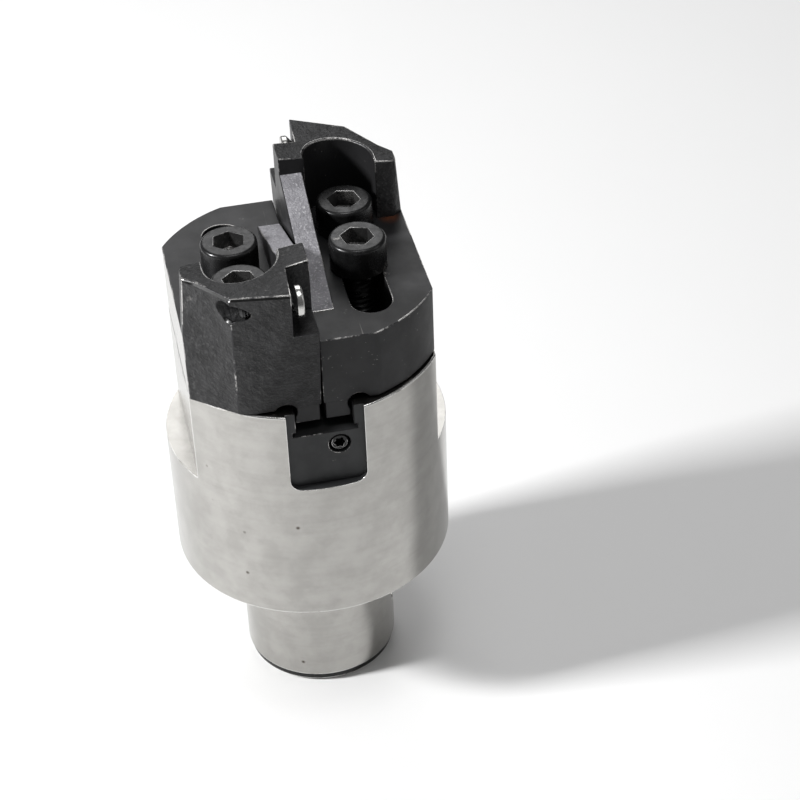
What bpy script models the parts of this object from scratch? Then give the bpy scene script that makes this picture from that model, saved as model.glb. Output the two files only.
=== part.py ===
"""Twin-cutter rough boring head on a cylindrical modular spigot.

A ground steel body stands on its spigot. Two cartridges, each the other's copy turned half round,
slide outwards along a channel across the body's top. Two cap screws clamp each cartridge, and one
set screw in the body's notch pushes it out by way of a pin pressed into its tenon.
Units are metres, +Z is up, and the origin is the centre of the spigot's end face.
"""
import math

import bmesh
import bpy
from mathutils import Matrix, Vector

GAP = 0.0003                    # clearance between pieces that touch on the real tool

# Body and its spigot
BODY_R = 0.0250
BODY_TOP = 0.0717
FLANGE_Z = 0.0277               # seat face of the modular connection
BODY_CHAMFER = 0.0004
SPIGOT_R = 0.0140
SPIGOT_LEAD_R = 0.0136          # unground lead at the spigot's end
SPIGOT_LEAD_H = 0.0020
SPIGOT_CHAMFER = 0.0005
FLAT_X = 0.0213                 # scale flats on both sides
FLAT_LEDGE_Z = 0.0532
NOTCH_Y = 0.02334               # milled notches at the channel's two ends
NOTCH_HALF_W = 0.00657
NOTCH_BOTTOM = 0.0562
NOTCH_CORNER_R = 0.0018
CHANNEL_HALF_W = 0.00494
CHANNEL_FLOOR = 0.0668
UNDERCUT_W = 0.0006
UNDERCUT_H = 0.0009
COOLANT_R = 0.0025
CLAMP_HOLE_R = 0.0055           # cone seat for the holder's clamping screw
CLAMP_HOLE_Z = 0.0125
CLAMP_HOLE_DEPTH = 0.0060

# Cartridges, as the one at +X; the other is the same piece turned half round
SETTING = 0.0010                # how far out the cartridges are set
SPLIT = 0.0002                  # half of the gap between the two cartridges
SLAB_BOTTOM = BODY_TOP + GAP
SLAB_TOP = 0.0848
SLAB_FRONT = -0.0231            # flat end, measured from the cartridge's own centre
TENON_INNER = 0.0005
TENON_OUTER = CHANNEL_HALF_W - GAP
TENON_BOTTOM = 0.0687
TENON_END = 0.0220
RELIEF_X = 0.0062               # groove under the slab beside the tenon
RELIEF_R = 0.00194
RELIEF_Z = 0.07116
SLOT_X = 0.01065
SLOT_HALF_W = 0.0035
SLOT_FRONT = -0.0129            # centres of the slot's round ends
SLOT_BACK = 0.0125
RIB_OUTER = 0.0042
RIB_BACK = (0.0135, 0.0953)     # y, z along the rib's sloping top
RIB_FRONT = (-0.0140, 0.0849)
TOOTH_HIGH = 0.1000             # loft height, cut back to the sloping top
TOP_Z = 0.0984                  # height of the sloping top at x = 0
TOP_FALL = 0.12
CLEARANCE_Y = 0.0222            # back of the tooth at the split, at the slab's underside
CLEARANCE_LEAN = 0.213          # how far it leans out for each unit of height
EDGE_X = 0.0140                 # edge between the tooth's two outer facets
EDGE_Y = 0.0214
EDGE_LEAN = 0.108
FACET_SLOPE = 0.317
HEEL_Y = 0.0153                 # where the outer facet meets the scale flat
SIDE_LEAN = 0.075
SHOULDER_FRONT = 0.0131
LUG_FRONT = 0.0113
LUG_CORNER_X = 0.0198
COUNTERBORE_R = 0.0060
COUNTERBORE_Y = 0.0137
POCKET_BACK = 0.0189            # corner of the insert pocket
POCKET_FLOOR = 0.00405
POCKET_TILT = 0.055
POCKET_LEDGE = 0.0891
INSERT_SCREW_Y = 0.0229
INSERT_SCREW_Z = 0.0939

# Fasteners
CAP_SCREW_YS = (-0.0021, 0.0099)
CAP_HEAD_R = 0.0049
CAP_HEAD_H = 0.0056
CAP_SHANK_R = 0.0029
CAP_LENGTH = 0.0250
CAP_SOCKET_AF = 0.0050
CAP_SOCKET_DEPTH = 0.0030
CAP_HOLE_DEPTH = 0.0150
HEX_TURNS = {"right": (12, 13), "left": (-8, 12)}       # degrees that each hex socket is turned
INSERT_HEAD_R = 0.00270
INSERT_HEAD_X = 0.0022          # outer face of the insert screw's head
INSERT_HEAD_H = 0.0011
INSERT_CONE_H = 0.0009
INSERT_SHANK_R = 0.00155
INSERT_TIP_X = 0.0125
ADJUST_X = 0.0023
ADJUST_Z = 0.0641
ADJUST_R = 0.0016
ADJUST_LENGTH = 0.0080
ADJUST_SOCKET_R = 0.0010
ADJUST_SOCKET_DEPTH = 0.0020
PIN_R = 0.00125
PIN_BOTTOM = 0.0622
PIN_SEAT = 0.0730               # how high the pin reaches into the cartridge
TRAVEL_IN = 0.0010
TRAVEL_OUT = 0.0080

ROUND = 96                      # sides of the body
SMALL_ROUND = 32                # sides of screws and holes
FAR = 0.0400                    # cutters reach past the part by this much

for old in list(bpy.data.objects):
    bpy.data.objects.remove(old)


def collection(name):
    """A new collection in the scene."""
    made = bpy.data.collections.new(name)
    bpy.context.scene.collection.children.link(made)
    return made


PARTS = collection("boring_head")
CUTTERS = collection("cutters")


def steel(name, colour, roughness, metallic):
    """A plain Principled material."""
    made = bpy.data.materials.new(name)
    made.use_nodes = True
    shader = made.node_tree.nodes["Principled BSDF"]
    shader.inputs["Base Color"].default_value = (*colour, 1.0)
    shader.inputs["Roughness"].default_value = roughness
    shader.inputs["Metallic"].default_value = metallic
    made.diffuse_color = (*colour, 1.0)
    return made


def add_mesh(name, mesh, folder):
    """An object for a mesh, kept in one of the two collections."""
    made = bpy.data.objects.new(name, mesh)
    folder.objects.link(made)
    if folder is CUTTERS:
        made.hide_render = True
        made.display_type = "WIRE"
    return made


def from_bmesh(name, bm, folder):
    """Closes a bmesh into a named object."""
    bmesh.ops.recalc_face_normals(bm, faces=bm.faces)
    mesh = bpy.data.meshes.new(name)
    bm.to_mesh(mesh)
    bm.free()
    return add_mesh(name, mesh, folder)


def box(name, low, high, folder=CUTTERS):
    """A block between two corners."""
    size = Vector(high) - Vector(low)
    middle = (Vector(high) + Vector(low)) / 2
    bm = bmesh.new()
    bmesh.ops.create_cube(bm, size=1.0, matrix=Matrix.Translation(middle) @ Matrix.Diagonal(size).to_4x4())
    return from_bmesh(name, bm, folder)


def rod(name, start, end, radius, sides=SMALL_ROUND, end_radius=None, folder=CUTTERS):
    """A cylinder or a cone from one point to another."""
    start, end = Vector(start), Vector(end)
    along = end - start
    place = Matrix.Translation((start + end) / 2) @ along.to_track_quat("Z", "Y").to_matrix().to_4x4()
    bm = bmesh.new()
    bmesh.ops.create_cone(bm, cap_ends=True, segments=sides, radius1=radius, depth=along.length,
                          radius2=radius if end_radius is None else end_radius, matrix=place)
    return from_bmesh(name, bm, folder)


def plate(name, outline, low, high, folder=CUTTERS):
    """A flat outline raised from one height to another."""
    curve = bpy.data.curves.new(name + "_outline", "CURVE")
    curve.dimensions = "2D"
    curve.fill_mode = "BOTH"
    curve.extrude = (high - low) / 2
    spline = curve.splines.new("POLY")
    spline.points.add(len(outline) - 1)
    for point, (x, y) in zip(spline.points, outline):
        point.co = (x, y, 0.0, 1.0)
    spline.use_cyclic_u = True
    drawn = bpy.data.objects.new(name + "_outline", curve)
    CUTTERS.objects.link(drawn)
    seen = drawn.evaluated_get(bpy.context.evaluated_depsgraph_get())
    mesh = bpy.data.meshes.new_from_object(seen)
    bpy.data.objects.remove(drawn)
    bm = bmesh.new()
    bm.from_mesh(mesh)
    bpy.data.meshes.remove(mesh)
    bmesh.ops.remove_doubles(bm, verts=bm.verts, dist=0.00001)
    bmesh.ops.translate(bm, verts=bm.verts, vec=(0.0, 0.0, (high + low) / 2))
    return from_bmesh(name, bm, folder)


def turned(name, profile, steps, folder=PARTS):
    """A profile of (radius, z) points, from the top down its outer side, turned about Z."""
    mesh = bpy.data.meshes.new(name)
    mesh.from_pydata([(r, 0.0, z) for r, z in profile], [(i, i + 1) for i in range(len(profile) - 1)], [])
    made = add_mesh(name, mesh, folder)
    screw = made.modifiers.new("turn", "SCREW")
    screw.steps = screw.render_steps = steps
    screw.use_merge_vertices = True
    screw.merge_threshold = 0.00001
    return made


def combine(piece, other, operation="DIFFERENCE"):
    """Adds a Boolean of one object to another."""
    step = piece.modifiers.new(other.name, "BOOLEAN")
    step.operation = operation
    step.solver = "EXACT"
    step.object = other


def arc(centre, radius, start, end, count):
    """Points on an arc, with the angles in degrees."""
    angles = [math.radians(start + (end - start) * i / count) for i in range(count + 1)]
    return [(centre[0] + radius * math.cos(a), centre[1] + radius * math.sin(a)) for a in angles]


def finish(piece, material):
    """Gives a piece its material and smooth shading on its round faces."""
    piece.data.materials.append(material)
    piece.data.shade_smooth()
    piece.data.set_sharp_from_angle(angle=math.radians(30))


def make_body(ground):
    """The turned and milled body with its spigot."""
    profile = [(0.0, BODY_TOP), (BODY_R - BODY_CHAMFER / 2, BODY_TOP), (BODY_R, BODY_TOP - BODY_CHAMFER / 2),
               (BODY_R, FLANGE_Z + BODY_CHAMFER), (BODY_R - BODY_CHAMFER, FLANGE_Z),
               (SPIGOT_R, FLANGE_Z), (SPIGOT_R, SPIGOT_LEAD_H),
               (SPIGOT_LEAD_R, SPIGOT_LEAD_H - SPIGOT_CHAMFER), (SPIGOT_LEAD_R, SPIGOT_CHAMFER),
               (SPIGOT_LEAD_R - SPIGOT_CHAMFER, 0.0), (0.0, 0.0)]
    body = turned("body", profile, ROUND)
    high = BODY_TOP + FAR
    channel = box("channel", (-CHANNEL_HALF_W, -FAR, CHANNEL_FLOOR), (CHANNEL_HALF_W, FAR, high))
    wide = CHANNEL_HALF_W + UNDERCUT_W
    undercut = box("channel_undercut", (-wide, -FAR, CHANNEL_FLOOR), (wide, FAR, CHANNEL_FLOOR + UNDERCUT_H))
    combine(body, channel)
    combine(body, undercut)
    combine(body, rod("coolant_bore", (0, 0, -FAR), (0, 0, high), COOLANT_R))
    ends = [(x, 0, CLAMP_HOLE_Z) for x in (SPIGOT_R - CLAMP_HOLE_DEPTH, FAR)]
    combine(body, rod("clamp_hole", *ends, CLAMP_HOLE_R))
    for side in (-1, 1):
        mark = "right" if side > 0 else "left"
        xs = sorted((side * FLAT_X, side * FAR))
        combine(body, box("scale_flat_" + mark, (xs[0], -FAR, FLAT_LEDGE_Z), (xs[1], FAR, high)))
        # the notch at the end where this side's set screw goes in
        corner = (NOTCH_HALF_W - NOTCH_CORNER_R, NOTCH_BOTTOM + NOTCH_CORNER_R)
        lower = arc(corner, NOTCH_CORNER_R, 0, -90, 6)
        other = [(-x, z) for x, z in reversed(lower)]
        outline = [(NOTCH_HALF_W, high)] + lower + other + [(-NOTCH_HALF_W, high)]
        notch = plate("notch_" + mark, outline, NOTCH_Y, FAR)
        notch.data.transform(Matrix.Rotation(math.radians(90), 4, "X"))
        if side < 0:
            notch.data.transform(Matrix.Rotation(math.pi, 4, "Z"))
        combine(body, notch)
        x = side * ADJUST_X
        inner = -side * (NOTCH_Y - ADJUST_LENGTH - TRAVEL_OUT - 2 * GAP)
        ends = [(x, -side * FAR, ADJUST_Z), (x, inner, ADJUST_Z)]
        combine(body, rod("adjusting_hole_" + mark, *ends, ADJUST_R + GAP))
        pin_y = pin_place()
        low_y, high_y = pin_y - PIN_R - TRAVEL_IN - GAP, pin_y + PIN_R + TRAVEL_OUT + GAP
        ys = sorted((side * low_y, side * high_y))
        half = PIN_R + GAP
        combine(body, box("pin_groove_" + mark, (x - half, ys[0], PIN_BOTTOM - GAP), (x + half, ys[1], high)))
        for number, screw_y in enumerate(CAP_SCREW_YS, 1):
            place = (side * SLOT_X, side * screw_y)
            ends = [(*place, BODY_TOP - CAP_HOLE_DEPTH), (*place, high)]
            combine(body, rod(f"cap_hole_{mark}_{number}", *ends, CAP_SHANK_R + GAP))
    finish(body, ground)
    return body


def pin_place():
    """Where the right pusher pin stands along Y: just past the set screw's inner end."""
    return -NOTCH_Y + GAP + ADJUST_LENGTH + GAP + PIN_R


def loft(name, rings, folder):
    """A solid through rings of points, each with the same count of points."""
    bm = bmesh.new()
    levels = [[bm.verts.new(point) for point in ring] for ring in rings]
    bm.faces.new(levels[0])
    bm.faces.new(levels[-1])
    for lower, upper in zip(levels, levels[1:]):
        for i in range(len(lower)):
            j = (i + 1) % len(lower)
            bm.faces.new((lower[i], lower[j], upper[j], upper[i]))
    bmesh.ops.triangulate(bm, faces=[f for f in bm.faces if len(f.verts) == 4])
    return from_bmesh(name, bm, folder)


def cartridge_ring(z):
    """The cartridge's outline at one height: flat end, round flank, scale flat, then the tooth's facets."""
    rise = z - SLAB_BOTTOM
    side_x = FLAT_X - SIDE_LEAN * max(0.0, z - SLAB_TOP)
    flat_end = math.degrees(math.asin(SLAB_FRONT / BODY_R))
    side_end = -math.degrees(math.acos(FLAT_X / BODY_R))
    flank = arc((side_x - FLAT_X, SETTING), BODY_R, flat_end, side_end, 16)
    clearance_y = CLEARANCE_Y + CLEARANCE_LEAN * rise
    edge_y = EDGE_Y + EDGE_LEAN * rise
    meeting_x = EDGE_X - (clearance_y - edge_y) / FACET_SLOPE
    tooth = [(side_x, HEEL_Y), (EDGE_X, edge_y), (meeting_x, clearance_y), (SPLIT, clearance_y)]
    return [(x, y, z) for x, y in [(SPLIT, SETTING + SLAB_FRONT)] + flank + tooth]


def make_cartridge(name, black):
    """The sliding cartridge at +X, with its tooth at +Y and its insert pocket facing -X."""
    piece = loft(name, [cartridge_ring(z) for z in (SLAB_BOTTOM, SLAB_TOP, TOOTH_HIGH)], PARTS)
    top = box(name + "_top", (-FAR, -FAR, 0.0), (FAR, FAR, FAR))
    top.data.transform(Matrix.Translation((0, 0, TOP_Z)) @ Matrix.Rotation(math.atan(TOP_FALL), 4, "Y"))
    combine(piece, top)
    # all that stands in front of the tooth, with the round recess that clears the cap screws' heads
    left, right = SLOT_X - COUNTERBORE_R, SLOT_X + COUNTERBORE_R
    front = [(-FAR, -FAR), (-FAR, SHOULDER_FRONT), (left, SHOULDER_FRONT)]
    front += arc((SLOT_X, COUNTERBORE_Y), COUNTERBORE_R, 180, 0, 24)
    front += [(right, LUG_FRONT), (LUG_CORNER_X, LUG_FRONT), (FAR, LUG_FRONT + FAR - LUG_CORNER_X)]
    front += [(FAR, -FAR)]
    combine(piece, plate(name + "_front", front, SLAB_TOP, SLAB_TOP + FAR))
    reach = FAR - POCKET_BACK
    floor_end = (POCKET_FLOOR + POCKET_TILT * reach, FAR)
    pocket = [(-FAR, POCKET_BACK), (POCKET_FLOOR, POCKET_BACK), floor_end, (-FAR, FAR)]
    combine(piece, plate(name + "_pocket", pocket, POCKET_LEDGE, POCKET_LEDGE + FAR))
    combine(piece, make_rib(name), "UNION")
    low, high = (TENON_INNER, -TENON_END, TENON_BOTTOM), (TENON_OUTER, TENON_END, SLAB_BOTTOM + GAP)
    combine(piece, box(name + "_tenon", low, high), "UNION")
    relief = rod(name + "_relief", (RELIEF_X, -FAR, RELIEF_Z), (RELIEF_X, FAR, RELIEF_Z), RELIEF_R, 24)
    combine(piece, relief)
    slot = arc((SLOT_X, SLOT_FRONT), SLOT_HALF_W, 180, 360, 12)
    slot += arc((SLOT_X, SLOT_BACK), SLOT_HALF_W, 0, 180, 12)
    combine(piece, plate(name + "_slot", slot, 0.0, FAR + SLAB_TOP))
    pin_y = pin_place()
    ends = [(ADJUST_X, pin_y, 0.0), (ADJUST_X, pin_y, PIN_SEAT + GAP)]
    combine(piece, rod(name + "_pin_hole", *ends, PIN_R + GAP, 24))
    ends = [(x, INSERT_SCREW_Y, INSERT_SCREW_Z) for x in (-FAR, FAR)]
    combine(piece, rod(name + "_insert_hole", *ends, INSERT_SHANK_R + GAP, 24))
    finish(piece, black)
    return piece


def make_rib(name):
    """The sloping rib that backs the tooth along the split."""
    (back_y, back_z), (front_y, front_z) = RIB_BACK, RIB_FRONT
    low = SLAB_TOP - GAP
    outline = [(front_y, low), (back_y, low), (back_y, back_z), (front_y, front_z)]
    rib = plate(name + "_rib", outline, SPLIT, RIB_OUTER)
    # the outline is drawn in X, Y and raised in Z; it is turned to stand in Y, Z and to run along X
    rib.data.transform(Matrix(((0, 0, 1, 0), (1, 0, 0, 0), (0, 1, 0, 0), (0, 0, 0, 1))))
    return rib


def make_cap_screw(name, x, y, turn, black):
    """A socket head cap screw standing on its own axis."""
    seat = SLAB_TOP + GAP
    top = CAP_HEAD_H
    profile = [(0.0, top), (CAP_HEAD_R - 0.0004, top), (CAP_HEAD_R, top - 0.0004), (CAP_HEAD_R, 0.0002),
               (CAP_HEAD_R - 0.0002, 0.0), (CAP_SHANK_R, 0.0), (CAP_SHANK_R, -CAP_LENGTH + 0.0008),
               (CAP_SHANK_R - 0.0008, -CAP_LENGTH), (0.0, -CAP_LENGTH)]
    screw = turned(name, profile, SMALL_ROUND)
    corner_r = CAP_SOCKET_AF / 2 / math.cos(math.radians(30))
    deep = top - CAP_SOCKET_DEPTH
    socket = rod(name + "_socket", (0, 0, deep), (0, 0, top + 0.001), corner_r, 6)
    drill = rod(name + "_drill", (0, 0, deep - 0.0008), (0, 0, top), 0.0, 6, corner_r * 0.8)
    for cutter in (socket, drill):
        cutter.data.transform(Matrix.Rotation(turn, 4, "Z"))
        cutter.parent = screw
        combine(screw, cutter)
    screw.location = (x, y, seat)
    finish(screw, black)
    return screw


def make_insert_screw(name, bright):
    """The short torx screw that would hold the cutting insert, lying along X."""
    face = INSERT_HEAD_X
    cone = face + INSERT_HEAD_H
    shank = cone + INSERT_CONE_H
    profile = [(0.0, -face), (INSERT_HEAD_R - 0.0003, -face), (INSERT_HEAD_R, -face - 0.0003),
               (INSERT_HEAD_R, -cone), (INSERT_SHANK_R, -shank), (INSERT_SHANK_R, -INSERT_TIP_X),
               (0.0, -INSERT_TIP_X)]
    screw = turned(name, profile, 24)
    socket = rod(name + "_socket", (0, 0, -face - 0.0012), (0, 0, 0.001), 0.0013, 6)
    socket.parent = screw
    combine(screw, socket)
    screw.rotation_euler = (0.0, -math.pi / 2, 0.0)
    screw.location = (0.0, INSERT_SCREW_Y, INSERT_SCREW_Z)
    finish(screw, bright)
    return screw


def make_adjusting_screw(name, black):
    """The set screw in the notch, lying along Y with its socket outwards."""
    half = ADJUST_LENGTH / 2
    profile = [(0.0, half), (ADJUST_R - 0.0002, half), (ADJUST_R, half - 0.0002), (ADJUST_R, -half + 0.0006),
               (ADJUST_R - 0.0006, -half), (0.0, -half)]
    screw = turned(name, profile, 24)
    ends = [(0, 0, half - ADJUST_SOCKET_DEPTH), (0, 0, half + 0.001)]
    socket = rod(name + "_socket", *ends, ADJUST_SOCKET_R, 6)
    socket.parent = screw
    combine(screw, socket)
    screw.rotation_euler = (math.pi / 2, 0.0, 0.0)
    screw.location = (ADJUST_X, -NOTCH_Y + GAP + half, ADJUST_Z)
    finish(screw, black)
    return screw


def make_pin(name, bright):
    """The dowel that the set screw pushes, pressed into the cartridge's tenon."""
    pin = rod(name, (0, 0, PIN_BOTTOM), (0, 0, PIN_SEAT), PIN_R, 24, folder=PARTS)
    pin.location = (ADJUST_X, pin_place(), 0.0)
    finish(pin, bright)
    return pin


def half_turn(piece):
    """Turns a finished piece, with its cutters, half round about Z to the other side."""
    turn = Matrix.Rotation(math.pi, 4, "Z")
    if piece.data.users == 1 and piece.name.startswith("cartridge"):
        for thing in [piece] + all_cutters(piece):
            thing.data.transform(turn)
    else:
        piece.matrix_world = turn @ piece.matrix_basis


def all_cutters(piece):
    """Every object that a piece's Booleans use, and theirs."""
    found = []
    for step in piece.modifiers:
        if step.type == "BOOLEAN":
            found.append(step.object)
            found += all_cutters(step.object)
    return found


ground_steel = steel("ground_steel", (0.56, 0.55, 0.53), 0.32, 1.0)
black_oxide = steel("black_oxide", (0.035, 0.035, 0.037), 0.42, 0.6)
screw_black = steel("screw_black", (0.03, 0.03, 0.03), 0.35, 0.7)
bright_steel = steel("bright_steel", (0.68, 0.68, 0.68), 0.22, 1.0)

make_body(ground_steel)
for side_name, side in (("right", 1), ("left", -1)):
    pieces = [make_cartridge("cartridge_" + side_name, black_oxide),
              make_insert_screw("insert_screw_" + side_name, bright_steel),
              make_adjusting_screw("adjusting_screw_" + side_name, screw_black),
              make_pin("pusher_pin_" + side_name, bright_steel)]
    if side < 0:
        for piece in pieces:
            half_turn(piece)
    for number, screw_y in enumerate(CAP_SCREW_YS, 1):
        hex_turn = math.radians(HEX_TURNS[side_name][number - 1])
        name = f"cap_screw_{side_name}_{number}"
        make_cap_screw(name, side * SLOT_X, side * screw_y, hex_turn, screw_black)
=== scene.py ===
"""A twin-cutter rough boring head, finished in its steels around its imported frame."""
import math

import bmesh
import bpy
from mathutils import Matrix, Vector


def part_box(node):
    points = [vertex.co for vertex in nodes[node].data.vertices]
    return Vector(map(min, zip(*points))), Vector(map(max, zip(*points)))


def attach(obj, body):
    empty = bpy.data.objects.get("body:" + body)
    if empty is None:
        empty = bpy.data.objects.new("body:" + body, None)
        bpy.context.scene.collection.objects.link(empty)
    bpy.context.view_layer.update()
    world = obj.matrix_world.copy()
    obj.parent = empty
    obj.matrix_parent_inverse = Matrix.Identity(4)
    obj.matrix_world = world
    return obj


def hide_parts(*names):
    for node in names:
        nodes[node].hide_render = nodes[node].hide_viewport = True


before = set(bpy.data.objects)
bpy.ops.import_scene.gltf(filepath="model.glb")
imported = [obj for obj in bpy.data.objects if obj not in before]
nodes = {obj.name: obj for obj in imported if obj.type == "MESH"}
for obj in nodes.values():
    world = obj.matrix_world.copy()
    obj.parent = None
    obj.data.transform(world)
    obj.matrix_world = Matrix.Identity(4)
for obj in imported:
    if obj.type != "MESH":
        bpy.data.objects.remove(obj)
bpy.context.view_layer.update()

# --- Body -------------------------------------------------------------------------------------
# The body and its spigot are one piece of hardened steel, turned and ground bright outside. The
# channel, the notches and the bores are milled afterwards and blacked, and so is the lead at the
# spigot's end. A millimetre scale is engraved on each flat.

BODY_BREAK = 0.00012            # width of the broken edges
BLACKED_HALF_WIDTH = 0.0067     # the milled cuts lie within this of the middle plane
NOTCH_FLOOR_Z = 0.0560
EAR_TOP_Z = 0.0716
LEAD_Z = 0.0021
SPIGOT_TOP_Z = 0.0277
OUTER_R = 0.0246                # less than this from the axis is inside the ground surface
SEAT_MARGIN = 0.001             # keeps the flange seat out of the blacked cuts


def select_only(piece):
    """Leaves one object selected and active."""
    bpy.ops.object.select_all(action="DESELECT")
    piece.select_set(True)
    bpy.context.view_layer.objects.active = piece


def bench_copy(node, name):
    """A copy of a CAD piece to work on, its loose triangles welded and its flat faces made whole."""
    piece = bpy.data.objects.new(name, nodes[node].data.copy())
    bpy.context.scene.collection.objects.link(piece)
    piece.data.materials.clear()
    select_only(piece)
    if piece.data.has_custom_normals:
        bpy.ops.mesh.customdata_custom_splitnormals_clear()
    bpy.ops.object.mode_set(mode="EDIT")
    bpy.ops.mesh.select_all(action="SELECT")
    bpy.ops.mesh.remove_doubles(threshold=0.000004)
    bpy.ops.mesh.dissolve_limited(angle_limit=math.radians(0.5))
    bpy.ops.object.mode_set(mode="OBJECT")
    return piece


def break_edges(piece, width, strip, segments=2, sharper=22, chosen=None):
    """Rounds the outward corners of a piece and gives the new strips the finish of one slot."""
    select_only(piece)
    bpy.ops.object.mode_set(mode="EDIT")
    bpy.ops.mesh.select_mode(type="EDGE")
    bpy.ops.mesh.select_all(action="DESELECT")
    shape = bmesh.from_edit_mesh(piece.data)
    shape.normal_update()
    for edge in shape.edges:
        if len(edge.link_faces) == 2 and edge.calc_face_angle_signed(0.0) > math.radians(sharper):
            edge.select_set(chosen is None or chosen(edge))
    bmesh.update_edit_mesh(piece.data)
    bpy.ops.mesh.bevel(offset=width, segments=segments, affect="EDGES", material=strip,
                       clamp_overlap=False)
    bpy.ops.object.mode_set(mode="OBJECT")


def even_shading(piece, angle=35):
    """Smooth round faces and flat flats: normals lean to the larger face beside each edge."""
    select_only(piece)
    bpy.ops.object.shade_smooth_by_angle(angle=math.radians(angle))
    piece.modifiers.new("even", "WEIGHTED_NORMAL").keep_sharp = True
    bpy.ops.object.modifier_apply(modifier="even")


def add_node(tree, kind, inputs=None, **settings):
    """A shader node with its settings, and values or links for its inputs."""
    made = tree.nodes.new("ShaderNode" + kind)
    for setting, value in settings.items():
        setattr(made, setting, value)
    for key, value in (inputs or {}).items():
        if isinstance(value, bpy.types.NodeSocket):
            tree.links.new(value, made.inputs[key])
        else:
            made.inputs[key].default_value = value
    return made


def maths(tree, operation, first, second=0.0):
    """One step of arithmetic, kept between 0 and 1."""
    return add_node(tree, "Math", {0: first, 1: second}, operation=operation, use_clamp=True).outputs[0]


def shade_between(tree, mask, low, high):
    """A colour or a number that goes from low to high with a mask."""
    if isinstance(low, (tuple, bpy.types.NodeSocketColor)):
        picks = {6: low if isinstance(low, bpy.types.NodeSocket) else (*low, 1.0),
                 7: high if isinstance(high, bpy.types.NodeSocket) else (*high, 1.0)}
        return add_node(tree, "Mix", {0: mask, **picks}, data_type="RGBA").outputs[2]
    return add_node(tree, "Mix", {0: mask, 2: low, 3: high}, data_type="FLOAT").outputs[0]


def effect(name, inputs, outputs):
    """An empty node group with its sockets, and its two end nodes."""
    group = bpy.data.node_groups.new(name, "ShaderNodeTree")
    for label, kind, value in inputs:
        socket = group.interface.new_socket(label, in_out="INPUT", socket_type="NodeSocket" + kind)
        if value is not None:
            socket.default_value = value
    for label in outputs:
        group.interface.new_socket(label, in_out="OUTPUT", socket_type="NodeSocketFloat")
    return group, group.nodes.new("NodeGroupInput").outputs, group.nodes.new("NodeGroupOutput").inputs


def put(group, links, **outputs):
    """Joins values to the outputs of an effect."""
    for label, value in outputs.items():
        group.links.new(value, links[label])


def use(tree, group, place, **values):
    """An effect placed in a material, on the piece's own coordinates."""
    made = tree.nodes.new("ShaderNodeGroup")
    made.node_tree = group
    tree.links.new(place, made.inputs["Place"])
    for label, value in values.items():
        made.inputs[label].default_value = value
    return made.outputs


def cutting_lines():
    """Fine lines that a grinding wheel or a mill leaves, long one way and close the other."""
    group, given, sent = effect(
        "cutting_lines", [("Place", "Vector", None), ("Spread", "Vector", (90, 90, 6500))],
        ["Height", "Tone"])
    laid = add_node(group, "VectorMath", {0: given["Place"], 1: given["Spread"]},
                    operation="MULTIPLY").outputs[0]
    fine = add_node(group, "TexNoise", {"Vector": laid, "Scale": 1.0, "Detail": 3.0, "Roughness": 0.7})
    broad = add_node(group, "TexNoise", {"Vector": laid, "Scale": 0.21, "Detail": 4.0,
                                         "Roughness": 0.55})
    put(group, sent, Height=fine.outputs[0], Tone=broad.outputs[0])
    return group


def soft_patches():
    """Slow, cloudy unevenness of a finish."""
    group, given, sent = effect(
        "soft_patches", [("Place", "Vector", None), ("Scale", "Float", 120.0)], ["Mask"])
    cloud = add_node(group, "TexNoise", {"Vector": given["Place"], "Scale": given["Scale"],
                                         "Detail": 5.0, "Roughness": 0.6})
    spread = add_node(group, "MapRange", {0: cloud.outputs[0], 1: 0.32, 2: 0.68},
                      interpolation_type="SMOOTHSTEP")
    put(group, sent, Mask=spread.outputs[0])
    return group


def worn_spots():
    """Where a finish has rubbed through: broken patches whose cover can be chosen."""
    group, given, sent = effect(
        "worn_spots", [("Place", "Vector", None), ("Scale", "Float", 1400.0),
                       ("Cover", "Float", 0.5)], ["Mask"])
    grain = add_node(group, "TexNoise", {"Vector": given["Place"], "Scale": given["Scale"],
                                         "Detail": 6.0, "Roughness": 0.75}).outputs[0]
    slow = add_node(group, "TexNoise", {"Vector": given["Place"], "Scale": 180.0,
                                        "Detail": 2.0}).outputs[0]
    mixed = add_node(group, "Math", {0: grain, 1: 0.62, 2: slow}, operation="MULTIPLY_ADD").outputs[0]
    raised = add_node(group, "Math", {0: mixed, 1: given["Cover"]}, operation="ADD").outputs[0]
    edge = add_node(group, "MapRange", {0: raised, 1: 1.22, 2: 1.38}, interpolation_type="SMOOTHSTEP")
    put(group, sent, Mask=edge.outputs[0])
    return group


def small_pits():
    """Scattered pin pricks of rust or dirt."""
    group, given, sent = effect(
        "small_pits", [("Place", "Vector", None), ("Scale", "Float", 260.0),
                       ("Size", "Float", 0.08)], ["Mask"])
    cells = add_node(group, "TexVoronoi", {"Vector": given["Place"], "Scale": given["Scale"]})
    few = add_node(group, "SeparateColor", {0: cells.outputs["Color"]}).outputs[0]
    rare = maths(group, "GREATER_THAN", few, 0.72)
    inside = add_node(group, "MapRange", {0: cells.outputs["Distance"], 1: given["Size"], 2: 0.02,
                                          3: 0.0, 4: 1.0})
    put(group, sent, Mask=maths(group, "MULTIPLY", rare, inside.outputs[0]))
    return group


CUTTING_LINES = cutting_lines()
SOFT_PATCHES = soft_patches()
WORN_SPOTS = worn_spots()
SMALL_PITS = small_pits()


def metal(name, metallic, anisotropic=0.0):
    """A new material: its tree, its shader and the piece's own coordinates."""
    made = bpy.data.materials.new(name)
    made.use_nodes = True
    tree = made.node_tree
    shader = tree.nodes["Principled BSDF"]
    shader.inputs["Metallic"].default_value = metallic
    shader.inputs["Anisotropic"].default_value = anisotropic
    return made, tree, shader, tree.nodes.new("ShaderNodeTexCoord").outputs["Object"]


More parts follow.
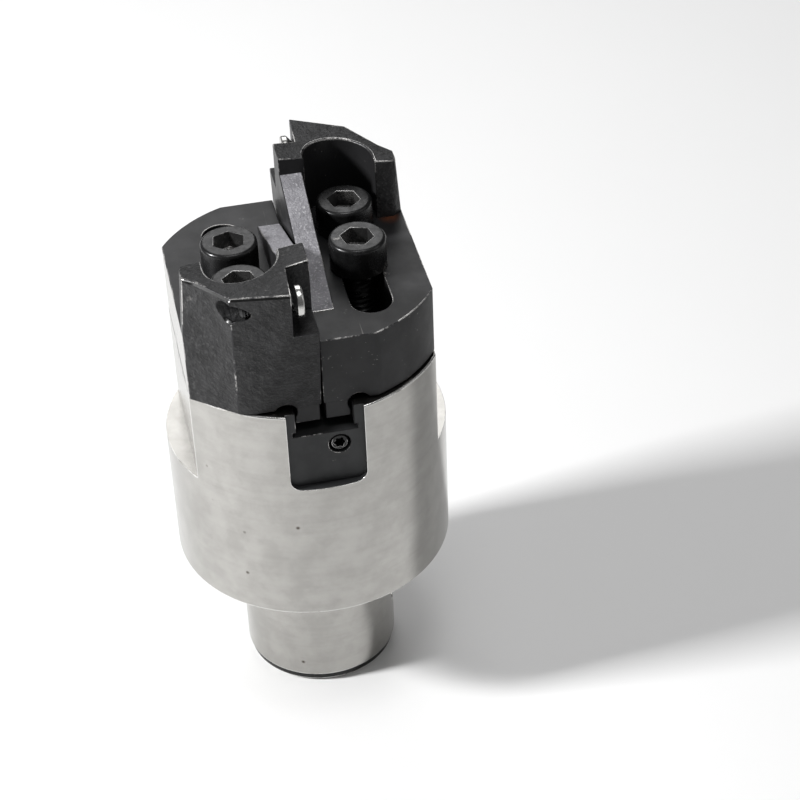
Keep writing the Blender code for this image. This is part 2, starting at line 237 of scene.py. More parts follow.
def finish_with(tree, shader, colour, roughness, height, depth):
    """Joins a finish to its shader: colour, roughness, and a relief of a depth in metres."""
    tree.links.new(colour, shader.inputs["Base Color"])
    tree.links.new(roughness, shader.inputs["Roughness"])
    bump = add_node(tree, "Bump", {"Height": height, "Distance": depth, "Strength": 1.0})
    tree.links.new(bump.outputs[0], shader.inputs["Normal"])


def ground_steel(name, spread):
    """Ground steel: bright, with fine lines, faint clouds and a few dark pits."""
    made, tree, shader, place = metal(name, 1.0, 0.6)
    shader.inputs["Anisotropic Rotation"].default_value = 0.25
    tree.links.new(add_node(tree, "Tangent", direction_type="RADIAL", axis="Z").outputs[0],
                   shader.inputs["Tangent"])
    lines = use(tree, CUTTING_LINES, place, Spread=spread)
    cloud = use(tree, SOFT_PATCHES, place, Scale=210.0)
    pits = use(tree, SMALL_PITS, place, Scale=210.0, Size=0.10)
    colour = shade_between(tree, cloud[0], (0.350, 0.342, 0.324),
                           (0.425, 0.416, 0.396))
    lined = shade_between(tree, lines["Tone"], (0.20, 0.196, 0.187), (0.64, 0.632, 0.612))
    colour = add_node(tree, "Mix", {0: 0.16, 6: colour, 7: lined}, data_type="RGBA").outputs[2]
    colour = shade_between(tree, pits[0], colour, (0.06, 0.045, 0.035))
    rough = shade_between(tree, lines["Tone"], 0.12, 0.27)
    finish_with(tree, shader, colour, rough, lines["Height"], 0.0000024)
    return made


def rubbed_edge(name, bright, dark, cover, scale=1500.0):
    """The broken edge of a piece, with bright spots where handling has rubbed its finish to bare steel;
    also used for painted glints and a painted reflection.
    """
    made, tree, shader, place = metal(name, 0.9)
    worn = use(tree, WORN_SPOTS, place, Scale=scale, Cover=cover)
    grain = use(tree, CUTTING_LINES, place, Spread=(2500, 2500, 2500))
    colour = shade_between(tree, worn[0], dark, bright)
    rough = shade_between(tree, worn[0], 0.45, 0.24)
    finish_with(tree, shader, colour, rough, grain["Height"], 0.00006)
    return made


def milled_black(name, colour, rough, cover, lines=(3000, 160, 3000), depth=0.000004):
    """Milled steel under black oxide: satin, with mill lines, cloudy patches and rubbed scratches."""
    made, tree, shader, place = metal(name, 0.15)
    shader.inputs["IOR"].default_value = 1.38
    mill = use(tree, CUTTING_LINES, place, Spread=lines)
    cloud = use(tree, SOFT_PATCHES, place, Scale=230.0)
    worn = use(tree, WORN_SPOTS, place, Scale=900.0, Cover=cover)
    slanted = add_node(tree, "Mapping", {"Vector": place, "Rotation": (0.3, 0.9, 0.5),
                                         "Scale": (9.0, 0.22, 9.0)}).outputs[0]
    scratch = use(tree, WORN_SPOTS, slanted, Scale=260.0, Cover=cover - 0.02)
    low = tuple(0.85 * part for part in colour)
    high = tuple(1.18 * part for part in colour)
    tone = shade_between(tree, cloud[0], low, high)
    marks = maths(tree, "MAXIMUM", worn[0], scratch[0])
    tone = shade_between(tree, marks, tone, (0.30, 0.29, 0.28))
    roughness = shade_between(tree, cloud[0], rough + 0.03, rough - 0.03)
    finish_with(tree, shader, tone, roughness, mill["Height"], depth)
    return made


def in_cut(face):
    """Whether a face of the body lies in the milled and blacked cuts."""
    middle = face.calc_center_median()
    inside = math.hypot(middle.x, middle.y) < OUTER_R
    level = abs(face.normal.z) > 0.9
    if middle.z < LEAD_Z:
        return face.normal.z > -0.5
    if middle.z < SPIGOT_TOP_Z + SEAT_MARGIN:
        return False
    if level and middle.z > EAR_TOP_Z:
        return False
    if inside and not level and abs(face.normal.x) > 0.9 and abs(middle.x) > 0.02:
        return False
    in_notch = abs(middle.x) < BLACKED_HALF_WIDTH and middle.z > NOTCH_FLOOR_Z
    return in_notch and (inside or level) or inside and not level


def dress(piece, materials, slot_of):
    """Gives a piece its materials, and each face the slot that its place asks for."""
    for material in materials:
        piece.data.materials.append(material)
    shape = bmesh.new()
    shape.from_mesh(piece.data)
    shape.normal_update()
    for face in shape.faces:
        face.material_index = slot_of(face)
    shape.to_mesh(piece.data)
    shape.free()


ground_round = ground_steel("ground_round", (70, 70, 6000))
ground_rim = rubbed_edge("ground_rim", (0.74, 0.735, 0.72), (0.40, 0.39, 0.37), 0.62)
cut_black = milled_black("cut_black", (0.028, 0.029, 0.030), 0.46, cover=0.16, lines=(3500, 3500, 260))

SCALE_FLAT_X = 0.0213
SCALE_STEP = 0.0010             # one line for each millimetre of setting
SCALE_LINES = 10
SCALE_WIDTH = 0.00018
SCALE_DEPTH = 0.00006
SHORT_LINE = 0.0018
LONG_LINE = 0.0030
CLEAR = 0.001                   # how far the graver stands out of the metal


def engrave(piece, lines, slot):
    """Cuts fine upright lines, given as (side, y, low, high), into the flats of a piece."""
    for side, y, low, high in lines:
        reach = SCALE_DEPTH + CLEAR
        x = side * (SCALE_FLAT_X - SCALE_DEPTH + reach / 2)
        bpy.ops.mesh.primitive_cube_add(size=1, location=(x, y, (low + high) / 2))
        graver = bpy.context.object
        graver.scale = (reach, SCALE_WIDTH, high - low)
        select_only(graver)
        bpy.ops.object.transform_apply(location=True, rotation=True, scale=True)
        for material in piece.data.materials:
            graver.data.materials.append(material)
        for face in graver.data.polygons:
            face.material_index = slot
        select_only(piece)
        cut = piece.modifiers.new("line", "BOOLEAN")
        cut.solver = "EXACT"
        cut.object = graver
        bpy.ops.object.modifier_apply(modifier="line")
        bpy.data.objects.remove(graver)


def scale_lines(top):
    """The body's scale on both flats: every fifth line is long."""
    lines = []
    for side in (1, -1):
        for number in range(SCALE_LINES):
            y = side * (number - 1) * SCALE_STEP
            length = LONG_LINE if number % 5 == 0 else SHORT_LINE
            lines.append((side, y, top - length, top + CLEAR))
    return lines


line_paint = milled_black("line_paint", (0.012, 0.012, 0.012), 0.6, cover=0.05)
cut_rim = rubbed_edge("cut_rim", (0.46, 0.45, 0.44), (0.030, 0.030, 0.031), 0.40)
lead_black = milled_black("lead_black", (0.010, 0.010, 0.010), 0.26, cover=0.10, lines=(300, 300, 5000))


def body_slot(face):
    """Ground steel outside, black in the cuts, and glossier black on the spigot's lead."""
    if not in_cut(face):
        return 0
    return 4 if face.calc_center_median().z < LEAD_Z else 2


body = bench_copy("body", "machined_body")
dress(body, [ground_round, ground_rim, cut_black, cut_rim, lead_black, line_paint], body_slot)
break_edges(body, BODY_BREAK, 1)
for face in body.data.polygons:
    if face.material_index == 1 and face.center.z > SPIGOT_TOP_Z + SEAT_MARGIN:
        if math.hypot(face.center.x, face.center.y) < OUTER_R:
            face.material_index = 3
engrave(body, scale_lines(EAR_TOP_Z), 5)
even_shading(body)
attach(body, "head_body")
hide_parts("body")

# --- Cartridges -------------------------------------------------------------------------------
# Each cartridge is one forged and milled block of tool steel: a slab with its clamping slot, a
# tenon that runs in the channel, a rib, and the tooth that carries the insert. It is blacked all
# over; the scale flat is ground afterwards, and the tooth keeps the skin of its forging.

SIDES = (("right", 1), ("left", -1))
CARTRIDGE_BREAK = 0.00016
SLAB_TOP_Z = 0.0848
CHAMFER = 0.00042               # hand-filed chamfer along the top of the tooth
SCREW_LANE_X = 0.01065
COUNTERBORE_Y = 0.0137
COUNTERBORE_R = 0.0060
RIM_REACH = 0.0003              # how far off the round a rim edge may lie
RIM_WEAR = 0.00034              # the counterbore's rim, rubbed by the key
SPLIT_REACH = 0.0011            # edges this near the middle plane stay black
LUG_ROUND = 0.00055
EXIT_HOLE_Y = 0.0229
EXIT_HOLE_Z = 0.0939
EXIT_HOLE_REACH = 0.0026
EXIT_HOLE_X = 0.009             # the hole breaks out beyond this
TOOTH_Y = 0.0105                # the tooth stands beyond this
TOOTH_TOP_LOW = 0.0900          # the tooth's sloping top lies above this
INDEX_LOW_Z = 0.0710            # the index line starts at the slab's lower edge
INDEX_LINE = 0.0045
TENON_EDGES_Z = 0.0735          # below this the edges are hardly touched
RUST_PLACE = (0.0188, 0.0110, 0.0849)


def forged_skin():
    """Grains and shallow dimples of a blasted forging, and a mask of the grains that take a painted
    glint.
    """
    group, given, sent = effect("forged_skin", [("Place", "Vector", None), ("Scale", "Float", 2600.0)],
                                ["Height", "Glint"])
    grain = add_node(group, "TexNoise", {"Vector": given["Place"], "Scale": given["Scale"], "Detail": 4.0,
                                         "Roughness": 0.65}).outputs[0]
    coarse = add_node(group, "Math", {0: given["Scale"], 1: 0.42}, operation="MULTIPLY").outputs[0]
    dimple = add_node(group, "TexVoronoi", {"Vector": given["Place"], "Scale": coarse},
                      feature="SMOOTH_F1").outputs["Distance"]
    height = add_node(group, "Math", {0: dimple, 1: 0.8, 2: grain}, operation="MULTIPLY_ADD").outputs[0]
    # painted highlight: this mask marks the grains that are painted light as glints
    painted_glint = add_node(group, "MapRange", {0: grain, 1: 0.55, 2: 0.72}).outputs[0]
    put(group, sent, Height=height, Glint=painted_glint)
    return group


FORGED_SKIN = forged_skin()


def forged_black(name, low, high, painted_glint, rough, scale, depth, metallic, ior):
    """A blasted forging under black oxide, with a painted glint of light colour on its brightest grains.
    """
    made, tree, shader, place = metal(name, metallic)
    shader.inputs["IOR"].default_value = ior
    skin = use(tree, FORGED_SKIN, place, Scale=scale)
    cloud = use(tree, SOFT_PATCHES, place, Scale=260.0)
    worn = use(tree, WORN_SPOTS, place, Scale=700.0, Cover=0.19)
    tone = shade_between(tree, cloud[0], low, high)
    # painted highlight: the marked grains take the light glint colour
    tone = shade_between(tree, skin["Glint"], tone, painted_glint)
    tone = shade_between(tree, worn[0], tone, (0.32, 0.31, 0.30))
    roughness = shade_between(tree, skin["Glint"], rough, rough - 0.16)
    finish_with(tree, shader, tone, roughness, skin["Height"], depth)
    return made


def slab_black(name, mirror):
    """The slab's milled black, with a breath of rust at the foot of the tooth."""
    made = milled_black(name, (0.017, 0.017, 0.018), 0.45, cover=0.20, lines=(2600, 2600, 300),
                        depth=0.000003)
    tree = made.node_tree
    shader = tree.nodes["Principled BSDF"]
    place = next(n for n in tree.nodes if n.type == "TEX_COORD").outputs["Object"]
    centre = (mirror * RUST_PLACE[0], mirror * RUST_PLACE[1], RUST_PLACE[2])
    reach = add_node(tree, "VectorMath", {0: place, 1: centre}, operation="DISTANCE").outputs["Value"]
    near = add_node(tree, "MapRange", {0: reach, 1: 0.0024, 2: 0.0002},
                    interpolation_type="SMOOTHSTEP").outputs[0]
    broken = maths(tree, "MULTIPLY", near, use(tree, WORN_SPOTS, place, Scale=1200.0, Cover=0.62)[0])
    before = shader.inputs["Base Color"].links[0].from_socket
    rusted = shade_between(tree, broken, before, (0.105, 0.036, 0.018))
    tree.links.new(rusted, shader.inputs["Base Color"])
    return made


def cartridge_slot(mirror):
    """Tells the finish of a cartridge's face from its place, seen as on the right-hand one."""
    def slot_of(face):
        middle = face.calc_center_median()
        x, y, z = mirror * middle.x, mirror * middle.y, middle.z
        out_x, out_y, up = mirror * face.normal.x, mirror * face.normal.y, face.normal.z
        if out_x > 0.97 and x > 0.0205 and z < SLAB_TOP_Z:
            return 4
        if up > 0.6 and x < 0.0044 and y < 0.0134 and z > SLAB_TOP_Z + 0.0002:
            return 3
        if y > TOOTH_Y and z > SLAB_TOP_Z and up > 0.9:
            return 2
        if out_y > 0.25 and y > 0.015 and z > 0.0722:
            return 2
        if z > SLAB_TOP_Z + 0.001 and y > TOOTH_Y and x > 0.0165 and out_x > -0.2 and abs(up) < 0.5:
            return 2
        return 0
    return slot_of


def on_tooth_top(mirror):
    """Picks the edges between the tooth's top and its outer facets."""
    def chosen(edge):
        ends = [mirror * vert.co.y for vert in edge.verts]
        normals = [face.normal for face in edge.link_faces]
        top = any(normal.z > 0.9 for normal in normals)
        facet = any(mirror * normal.y > 0.25 for normal in normals)
        return top and facet and min(ends) > 0.0145 and min(v.co.z for v in edge.verts) > TOOTH_TOP_LOW
    return chosen


def on_lug(mirror):
    """Picks the upright edges at the lug's outer front corner."""
    def chosen(edge):
        first, second = (vert.co for vert in edge.verts)
        upright = abs(first.z - second.z) > 0.005
        middle = (first + second) / 2
        return upright and mirror * middle.x > 0.0188 and 0.0108 < mirror * middle.y < 0.0145
    return chosen


def on_counterbore(mirror):
    """Picks the rim where the round counterbore breaks through the tooth's top."""
    def chosen(edge):
        normals = [face.normal for face in edge.link_faces]
        middle = (edge.verts[0].co + edge.verts[1].co) / 2
        reach = math.hypot(mirror * middle.x - SCREW_LANE_X, mirror * middle.y - COUNTERBORE_Y)
        top = any(normal.z > 0.9 for normal in normals) and middle.z > TOOTH_TOP_LOW
        return top and reach < COUNTERBORE_R + RIM_REACH
    return chosen


def not_under_chamfer(mirror):
    """Leaves out the soft lower edge of the filed chamfer."""
    def chosen(edge):
        normals = [face.normal for face in edge.link_faces]
        filed = [n for n in normals if 0.35 < n.z < 0.9 and mirror * n.y > 0.2]
        facet = [n for n in normals if abs(n.z) < 0.3 and mirror * n.y > 0.25]
        return not (filed and facet)
    return chosen


# Partly wear, partly painted highlight: the cartridges' broken edges get bright broken grains that stand
# in for the glints along them.
worn_and_glint_black = rubbed_edge("worn_and_glint_black", (0.50, 0.49, 0.48), (0.04, 0.04, 0.042), 0.46, 2400.0)
# The third colour of each forged skin is the colour of its painted glints.
tooth_skin = forged_black("tooth_skin", (0.018, 0.018, 0.0185), (0.034, 0.034, 0.035),
                          (0.070, 0.070, 0.071), 0.36, 1700.0, 0.00030, 0.0, 1.24)
rib_skin = forged_black("rib_skin", (0.20, 0.196, 0.212), (0.30, 0.295, 0.317), (0.60, 0.60, 0.62),
                        0.55, 3000.0, 0.00018, 0.2, 1.45)
flat_steel = ground_steel("ground_flat", (90, 60, 7000))
filed_black = milled_black("filed_black", (0.003, 0.003, 0.003), 0.30, cover=0.20,
                           lines=(400, 2500, 2500))
key_rubbed = rubbed_edge("key_rubbed", (0.44, 0.435, 0.43), (0.10, 0.10, 0.10), 0.52, 2600.0)
calm_black = rubbed_edge("calm_black", (0.34, 0.33, 0.32), (0.022, 0.022, 0.023), 0.36)

for side, mirror in SIDES:
    cartridge = bench_copy("cartridge_" + side, side + "_cartridge")
    slab = slab_black(side + "_slab_black", mirror)
    dress(cartridge, [slab, worn_and_glint_black, tooth_skin, rib_skin, flat_steel, filed_black, calm_black,
                      line_paint, key_rubbed], cartridge_slot(mirror))
    break_edges(cartridge, LUG_ROUND, 2, segments=4, sharper=15, chosen=on_lug(mirror))
    break_edges(cartridge, CHAMFER, 5, segments=1, chosen=on_tooth_top(mirror))
    break_edges(cartridge, RIM_WEAR, 8, chosen=on_counterbore(mirror))
    # slot 1 is the edge finish of wear and painted glints
    break_edges(cartridge, CARTRIDGE_BREAK, 1, sharper=26, chosen=not_under_chamfer(mirror))
    for face in cartridge.data.polygons:
        low_or_split = abs(face.center.x) < SPLIT_REACH or face.center.z < TENON_EDGES_Z
        from_hole = math.hypot(abs(face.center.y) - EXIT_HOLE_Y, face.center.z - EXIT_HOLE_Z)
        at_hole = from_hole < EXIT_HOLE_REACH and abs(face.center.x) > EXIT_HOLE_X
        if face.material_index == 1 and (low_or_split or at_hole):
            face.material_index = 6
    engrave(cartridge, [(mirror, 0.0, INDEX_LOW_Z, INDEX_LOW_Z + INDEX_LINE)], 7)
    even_shading(cartridge)
    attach(cartridge, "cartridge_slide_" + side)
    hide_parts("cartridge_" + side)

# --- Pusher pins ------------------------------------------------------------------------------
# A hardened dowel is pressed into each tenon from below. The set screw bears on it, and so pushes
# the cartridge outwards.

PIN_CHAMFER = 0.0003


def bright_turned(name):
    """Bright turned steel with faint rings."""
    made, tree, shader, place = metal(name, 1.0)
    rings = use(tree, CUTTING_LINES, place, Spread=(900, 900, 4200))
    cloud = use(tree, SOFT_PATCHES, place, Scale=420.0)
    colour = shade_between(tree, cloud[0], (0.56, 0.555, 0.54), (0.74, 0.735, 0.72))
    rough = shade_between(tree, rings["Tone"], 0.16, 0.34)
    finish_with(tree, shader, colour, rough, rings["Height"], 0.000003)
    return made


bright_steel = bright_turned("bright_turned")

for side, mirror in SIDES:
    low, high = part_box("pusher_pin_" + side)
    middle = (low + high) / 2
    bpy.ops.mesh.primitive_cylinder_add(vertices=48, radius=(high.x - low.x) / 2, depth=high.z - low.z,
                                        location=middle)
    pin = bpy.context.object
    pin.name = side + "_pusher_pin"
    select_only(pin)
    bpy.ops.object.transform_apply(location=True, rotation=True, scale=True)
    pin.data.materials.append(bright_steel)
    break_edges(pin, PIN_CHAMFER, 0, segments=2)
    even_shading(pin)
    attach(pin, "cartridge_slide_" + side)
    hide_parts("pusher_pin_" + side)

# --- Cap screws -------------------------------------------------------------------------------
# Two M6 socket head cap screws clamp each cartridge. Their heads are forged, with a finely
# knurled side and a hexagon socket, their threads are rolled, and they are blacked.

HEAD_R = 0.0049
HEAD_H = 0.0056
HEAD_ROUND = 0.0007
SHANK_R = 0.0029
SCREW_LENGTH = 0.0250
POINT_CHAMFER = 0.0007
KNURL_LOW = 0.0007              # the knurl runs between these, above the seat and under the crest
KNURL_HIGH = HEAD_H - 0.0009
SOCKET_BREAK = 0.00012
THREAD_PITCH = 0.0010
THREAD_DEPTH = 0.00052
PLAIN_NECK = 0.0008
KNURL_DEPTH = 0.00006
HEX_ACROSS_CORNERS = 0.00577
HEX_DEPTH = 0.0030
DRILL_POINT = 0.0008
SEAT_Z = 0.0851
SCREW_X = 0.01065
SCREW_YS = (-0.0021, 0.0099)
HEX_TURNS = {"right": (12, 13), "left": (-8, 12)}       # degrees, as the key left them
TURNED_SIDES = 72


def turned_blank(name, sides, rings):
    """A round blank, drawn out ring by ring from (radius, height) pairs."""
    radius, height = rings[0]
    bpy.ops.mesh.primitive_circle_add(vertices=sides, radius=radius, fill_type="NGON",
                                      location=(0, 0, height))
    blank = bpy.context.object
    blank.name = name
    select_only(blank)
    bpy.ops.object.transform_apply(location=True, rotation=True, scale=True)
    bpy.ops.object.mode_set(mode="EDIT")
    bpy.ops.mesh.select_mode(type="FACE")
    bpy.ops.mesh.select_all(action="SELECT")
    for (before, low), (after, high) in zip(rings, rings[1:]):
        bpy.ops.mesh.extrude_region_move(TRANSFORM_OT_translate={"value": (0, 0, high - low)})
        if after != before:
            bpy.ops.transform.resize(value=(after / before, after / before, 1),
                                     center_override=(0, 0, high))
    bpy.ops.mesh.select_all(action="SELECT")
    bpy.ops.mesh.normals_make_consistent(inside=False)
    bpy.ops.object.mode_set(mode="OBJECT")
    return blank


def roll_thread(blank, top, bottom, radius, pitch, depth, per_turn=8):
    """Cuts a round shank into fine rings and lets them follow a thread."""
    select_only(blank)
    bpy.ops.object.mode_set(mode="EDIT")
    bpy.ops.mesh.select_mode(type="EDGE")
    bpy.ops.mesh.select_all(action="DESELECT")
    shape = bmesh.from_edit_mesh(blank.data)
    for edge in shape.edges:
        heights = sorted(vert.co.z for vert in edge.verts)
        edge.select_set(abs(heights[0] - bottom) < 1e-5 and abs(heights[1] - top) < 1e-5)
    bmesh.update_edit_mesh(blank.data)
    bpy.ops.mesh.subdivide(number_cuts=int(per_turn * (top - bottom) / pitch))
    bpy.ops.object.mode_set(mode="OBJECT")
    for vert in blank.data.vertices:
        x, y, z = vert.co
        if bottom + 1e-5 < z < top - 1e-5 and abs(math.hypot(x, y) - radius) < 1e-5:
            turn = (top - z) / pitch + math.atan2(y, x) / math.tau
            fade = min(1.0, (top - z) / pitch, (z - bottom) / pitch)
            sink = depth * fade * (0.5 - 0.5 * math.cos(math.tau * turn))
            vert.co.x *= (radius - sink) / radius
            vert.co.y *= (radius - sink) / radius


def cut_socket(screw, sides, radius, mouth, deep, point, lobes=0.0, inside=0):
    """Sinks a hexagon or, with lobes, a six-lobed socket with a drill point into a screw's head."""
    bpy.ops.mesh.primitive_cylinder_add(vertices=sides, radius=radius, depth=mouth - deep + 0.002,
                                        location=(0, 0, (mouth + deep + 0.002) / 2))
    punch = bpy.context.object
    select_only(punch)
    bpy.ops.object.transform_apply(location=True, rotation=True, scale=True)
    for vert in punch.data.vertices:
        swell = 1.0 + lobes * math.cos(6 * math.atan2(vert.co.y, vert.co.x))
        vert.co.x *= swell
        vert.co.y *= swell
    bpy.ops.object.mode_set(mode="EDIT")
    bpy.ops.mesh.select_mode(type="FACE")
    bpy.ops.mesh.select_all(action="DESELECT")
    shape = bmesh.from_edit_mesh(punch.data)
    for face in shape.faces:
        face.select_set(face.normal.z < -0.9)
    bmesh.update_edit_mesh(punch.data)
    bpy.ops.mesh.extrude_region_move(TRANSFORM_OT_translate={"value": (0, 0, -point)})
    bpy.ops.transform.resize(value=(0.15, 0.15, 1), center_override=(0, 0, deep - point))
    bpy.ops.object.mode_set(mode="OBJECT")
    for material in screw.data.materials:
        punch.data.materials.append(material)
    for face in punch.data.polygons:
        face.material_index = inside
    select_only(screw)
    cut = screw.modifiers.new("socket", "BOOLEAN")
    cut.solver = "EXACT"
    cut.object = punch
    bpy.ops.object.modifier_apply(modifier="socket")
    bpy.data.objects.remove(punch)


def screw_black(name):
    """Black oxide on a forged screw: satin, glossier than the cartridges, with rubbed crests."""
    made, tree, shader, place = metal(name, 0.6)
    shader.inputs["IOR"].default_value = 1.45
    cloud = use(tree, SOFT_PATCHES, place, Scale=650.0)
    worn = use(tree, WORN_SPOTS, place, Scale=1700.0, Cover=0.24)
    skin = use(tree, CUTTING_LINES, place, Spread=(1800, 1800, 1800))
    tone = shade_between(tree, cloud[0], (0.014, 0.014, 0.0145), (0.030, 0.030, 0.031))
    tone = shade_between(tree, worn[0], tone, (0.28, 0.27, 0.26))
    finish_with(tree, shader, tone, shade_between(tree, cloud[0], 0.34, 0.22), skin["Height"], 0.000012)
    return made


screw_finish = screw_black("screw_black")
screw_rim = rubbed_edge("screw_rim", (0.46, 0.455, 0.45), (0.06, 0.06, 0.06), 0.50)
# painted reflection: the walls of the cap screws' sockets are painted a lighter grey than the black screw
socket_painted_reflection = rubbed_edge("socket_painted_reflection", (0.30, 0.295, 0.29), (0.09, 0.09, 0.09), 0.46)

blank = turned_blank("cap_screw_pattern", TURNED_SIDES, [
    (SHANK_R - POINT_CHAMFER, -SCREW_LENGTH), (SHANK_R, -SCREW_LENGTH + POINT_CHAMFER),
    (SHANK_R, -PLAIN_NECK), (SHANK_R, 0.0),
    (HEAD_R, 0.0), (HEAD_R, KNURL_LOW), (HEAD_R, KNURL_HIGH), (HEAD_R, HEAD_H)])
roll_thread(blank, -PLAIN_NECK, -SCREW_LENGTH + POINT_CHAMFER, SHANK_R, THREAD_PITCH, THREAD_DEPTH)
blank.data.materials.append(screw_finish)
blank.data.materials.append(screw_rim)
blank.data.materials.append(socket_painted_reflection)
break_edges(blank, HEAD_ROUND, 0, segments=4,
            chosen=lambda edge: min(v.co.z for v in edge.verts) > HEAD_H - 1e-5)
for vert in blank.data.vertices:
    x, y, z = vert.co
    if 0.0005 < z < HEAD_H - 0.0008 and math.hypot(x, y) > HEAD_R - 1e-5:
        ridge = round(math.atan2(y, x) / math.tau * TURNED_SIDES) % 2
        vert.co.x *= 1 - ridge * KNURL_DEPTH / HEAD_R
        vert.co.y *= 1 - ridge * KNURL_DEPTH / HEAD_R
# the socket's walls take slot 2, their painted reflection
cut_socket(blank, 6, HEX_ACROSS_CORNERS / 2, HEAD_H, HEAD_H - HEX_DEPTH, DRILL_POINT, inside=2)
break_edges(blank, SOCKET_BREAK, 1, segments=2, sharper=40,
            chosen=lambda edge: min(v.co.z for v in edge.verts) > HEAD_H - 1e-5)

for side, mirror in SIDES:
    for number, y in enumerate(SCREW_YS, 1):
        screw = bpy.data.objects.new(f"{side}_cap_screw_{number}", blank.data.copy())
        bpy.context.scene.collection.objects.link(screw)
        turn = Matrix.Rotation(math.radians(HEX_TURNS[side][number - 1]), 4, "Z")
        screw.data.transform(Matrix.Translation((mirror * SCREW_X, mirror * y, SEAT_Z)) @ turn)
        even_shading(screw, 40)
        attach(screw, f"clamp_{side}_{number}")
        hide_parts(f"cap_screw_{side}_{number}")
bpy.data.objects.remove(blank)

# --- Adjusting screws -------------------------------------------------------------------------
# A small set screw with a six-lobed socket and a cup point lies in each notch, under the channel.
# It is threaded into the body and blacked.

ADJUST_R = 0.0016
ADJUST_LENGTH = 0.0080
ADJUST_PITCH = 0.0007
ADJUST_DEPTH = 0.0003
ADJUST_SIDES = 48
ADJUST_KEY_R = 0.00092
ADJUST_KEY_DEPTH = 0.0018
ADJUST_MOUTH = 0.0003           # chamfer at the outer end
CUP_POINT = 0.0005
LOBES = 0.14                    # how far the six lobes of a socket swell

blank = turned_blank("adjusting_screw_pattern", ADJUST_SIDES, [
    (0.0007, -ADJUST_LENGTH + 0.0003), (0.0010, -ADJUST_LENGTH), (ADJUST_R, -ADJUST_LENGTH + CUP_POINT),
    (ADJUST_R, -ADJUST_MOUTH), (ADJUST_R - 0.00025, 0.0)])
roll_thread(blank, -ADJUST_MOUTH, -ADJUST_LENGTH + CUP_POINT, ADJUST_R, ADJUST_PITCH, ADJUST_DEPTH)
blank.data.materials.append(screw_finish)
blank.data.materials.append(screw_rim)
cut_socket(blank, ADJUST_SIDES, ADJUST_KEY_R, 0.0, -ADJUST_KEY_DEPTH, 0.0003, lobes=LOBES)
break_edges(blank, 0.00006, 1, sharper=40, chosen=lambda edge: min(v.co.z for v in edge.verts) > -1e-5)

for side, mirror in SIDES:
    low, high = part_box("adjusting_screw_" + side)
    middle = (low + high) / 2
    screw = bpy.data.objects.new(side + "_adjusting_screw", blank.data.copy())
    bpy.context.scene.collection.objects.link(screw)
    outer = Vector((middle.x, low.y if mirror > 0 else high.y, middle.z))
    screw.data.transform(Matrix.Translation(outer) @ Matrix.Rotation(mirror * math.pi / 2, 4, "X"))
    even_shading(screw, 40)
    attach(screw, "adjuster_" + side)
    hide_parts("adjusting_screw_" + side)
bpy.data.objects.remove(blank)

# --- Insert screws ----------------------------------------------------------------------------
# A bright plated screw lies across each tooth, ready to hold a cutting insert in the pocket. It
# has a flat head with a six-lobed socket, a cone under it, and a fine thread that holds dark oil.

INSERT_HEAD_R = 0.0027
INSERT_HEAD_H = 0.0011
INSERT_CONE_H = 0.0009
INSERT_SHANK_R = 0.00155
INSERT_LENGTH = 0.0103
INSERT_PITCH = 0.0005
INSERT_THREAD_DEPTH = 0.00026
INSERT_RUNOUT = 0.0004          # plain length at both ends of the thread
INSERT_KEY_R = 0.00125
INSERT_KEY_DEPTH = 0.0012

neck = -INSERT_HEAD_H - INSERT_CONE_H
blank = turned_blank("insert_screw_pattern", 64, [
    (INSERT_SHANK_R - INSERT_RUNOUT, -INSERT_LENGTH), (INSERT_SHANK_R, -INSERT_LENGTH + INSERT_RUNOUT),
    (INSERT_SHANK_R, neck - INSERT_RUNOUT), (INSERT_SHANK_R, neck), (INSERT_HEAD_R, -INSERT_HEAD_H),
    (INSERT_HEAD_R, 0.0)])
roll_thread(blank, neck - INSERT_RUNOUT, -INSERT_LENGTH + INSERT_RUNOUT, INSERT_SHANK_R, INSERT_PITCH,
            INSERT_THREAD_DEPTH)
blank.data.materials.append(bright_steel)
blank.data.materials.append(screw_finish)
for face in blank.data.polygons:
    face.material_index = 1 if face.center.z < neck - 0.0003 else 0
break_edges(blank, 0.00035, 0, segments=3, chosen=lambda edge: min(v.co.z for v in edge.verts) > -1e-5)
break_edges(blank, 0.00015, 0, chosen=lambda edge: abs(edge.verts[0].co.z + INSERT_HEAD_H) < 1e-5)
cut_socket(blank, 48, INSERT_KEY_R, 0.0, -INSERT_KEY_DEPTH, 0.0003, lobes=LOBES)

for side, mirror in SIDES:
    low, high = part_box("insert_screw_" + side)
    middle = (low + high) / 2
    screw = bpy.data.objects.new(side + "_insert_screw", blank.data.copy())
    bpy.context.scene.collection.objects.link(screw)
    outer = Vector((low.x if mirror > 0 else high.x, middle.y, middle.z))
    screw.data.transform(Matrix.Translation(outer) @ Matrix.Rotation(-mirror * math.pi / 2, 4, "Y"))
    even_shading(screw, 40)
    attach(screw, "insert_clamp_" + side)
    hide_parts("insert_screw_" + side)
bpy.data.objects.remove(blank)

# --- Floor, light and camera ------------------------------------------------------------------
# A pale table in a dim white room, with four square lamps: a key low on the left, a weak fill on the
# right, and two broader ones behind and overhead that light the level faces.

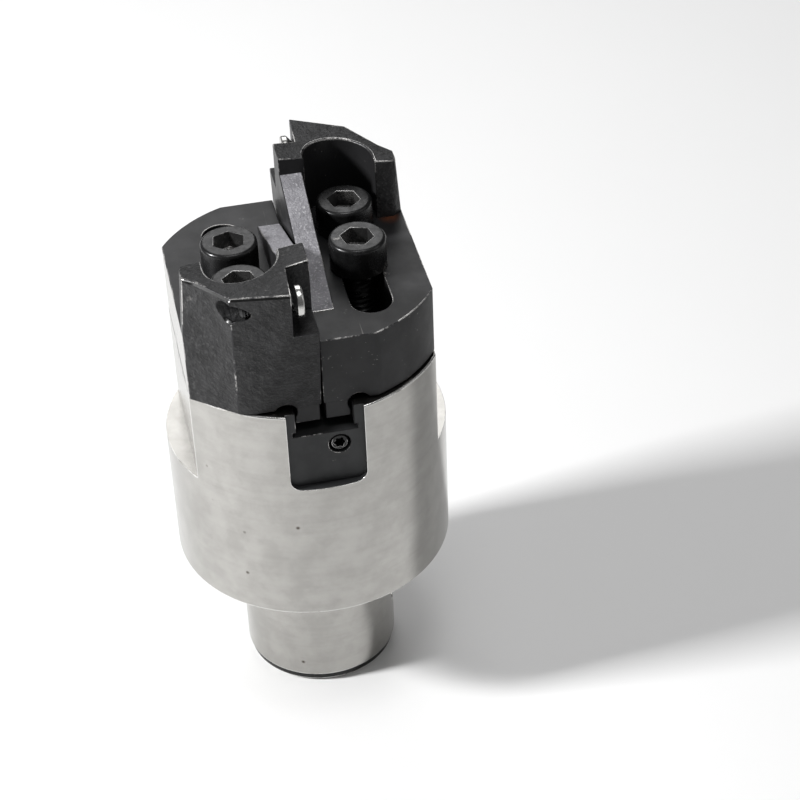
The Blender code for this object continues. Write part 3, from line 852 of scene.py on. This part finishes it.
bpy.ops.mesh.primitive_plane_add(size=6.0, location=(0, 0, 0))
floor = bpy.context.object
floor.name = "floor"
pale, tree, shader, place = metal("pale_table", 0.0)
cloud = use(tree, SOFT_PATCHES, place, Scale=3.0)
tone = shade_between(tree, cloud[0], (0.86, 0.86, 0.86), (0.88, 0.88, 0.88))
tree.links.new(tone, shader.inputs["Base Color"])
shader.inputs["Roughness"].default_value = 0.7
floor.data.materials.append(pale)

room = bpy.data.worlds.new("room")
bpy.context.scene.world = room
room.use_nodes = True
room.node_tree.nodes["Background"].inputs["Color"].default_value = (1.0, 1.0, 1.0, 1.0)
room.node_tree.nodes["Background"].inputs["Strength"].default_value = 0.14
bpy.context.scene.view_settings.view_transform = "Standard"

MIDDLE = Vector((0.0, 0.0, 0.05))


def softbox(name, place, size, power):
    """A square lamp that faces the tool."""
    lamp = bpy.data.lights.new(name, "AREA")
    lamp.energy = power
    lamp.size = size
    made = bpy.data.objects.new(name, lamp)
    bpy.context.scene.collection.objects.link(made)
    made.location = place
    made.rotation_euler = (MIDDLE - made.location).to_track_quat("-Z", "Y").to_euler()


softbox("key", (-0.52, -0.03, 0.42), 0.09, 5.5)
softbox("fill", (0.62, -0.20, 0.45), 0.40, 0.35)
softbox("back", (0.05, 0.60, 0.55), 0.50, 1.7)
softbox("top", (0.05, -0.10, 0.85), 0.35, 1.6)

CAMERA_YAW = math.radians(10.641)
CAMERA_DIP = math.radians(37.633)
CAMERA_ROLL = math.radians(-2.415)
camera_data = bpy.data.cameras.new("camera")
camera_data.lens = 98.87
camera_data.sensor_width = 36.0
camera = bpy.data.objects.new("camera", camera_data)
bpy.context.scene.collection.objects.link(camera)
camera.location = (-0.04062, -0.30781, 0.29439)
aim = Matrix.Rotation(-CAMERA_YAW, 4, "Z") @ Matrix.Rotation(math.radians(90) - CAMERA_DIP, 4, "X")
camera.rotation_euler = (aim @ Matrix.Rotation(CAMERA_ROLL, 4, "Z")).to_euler()
bpy.context.scene.camera = camera
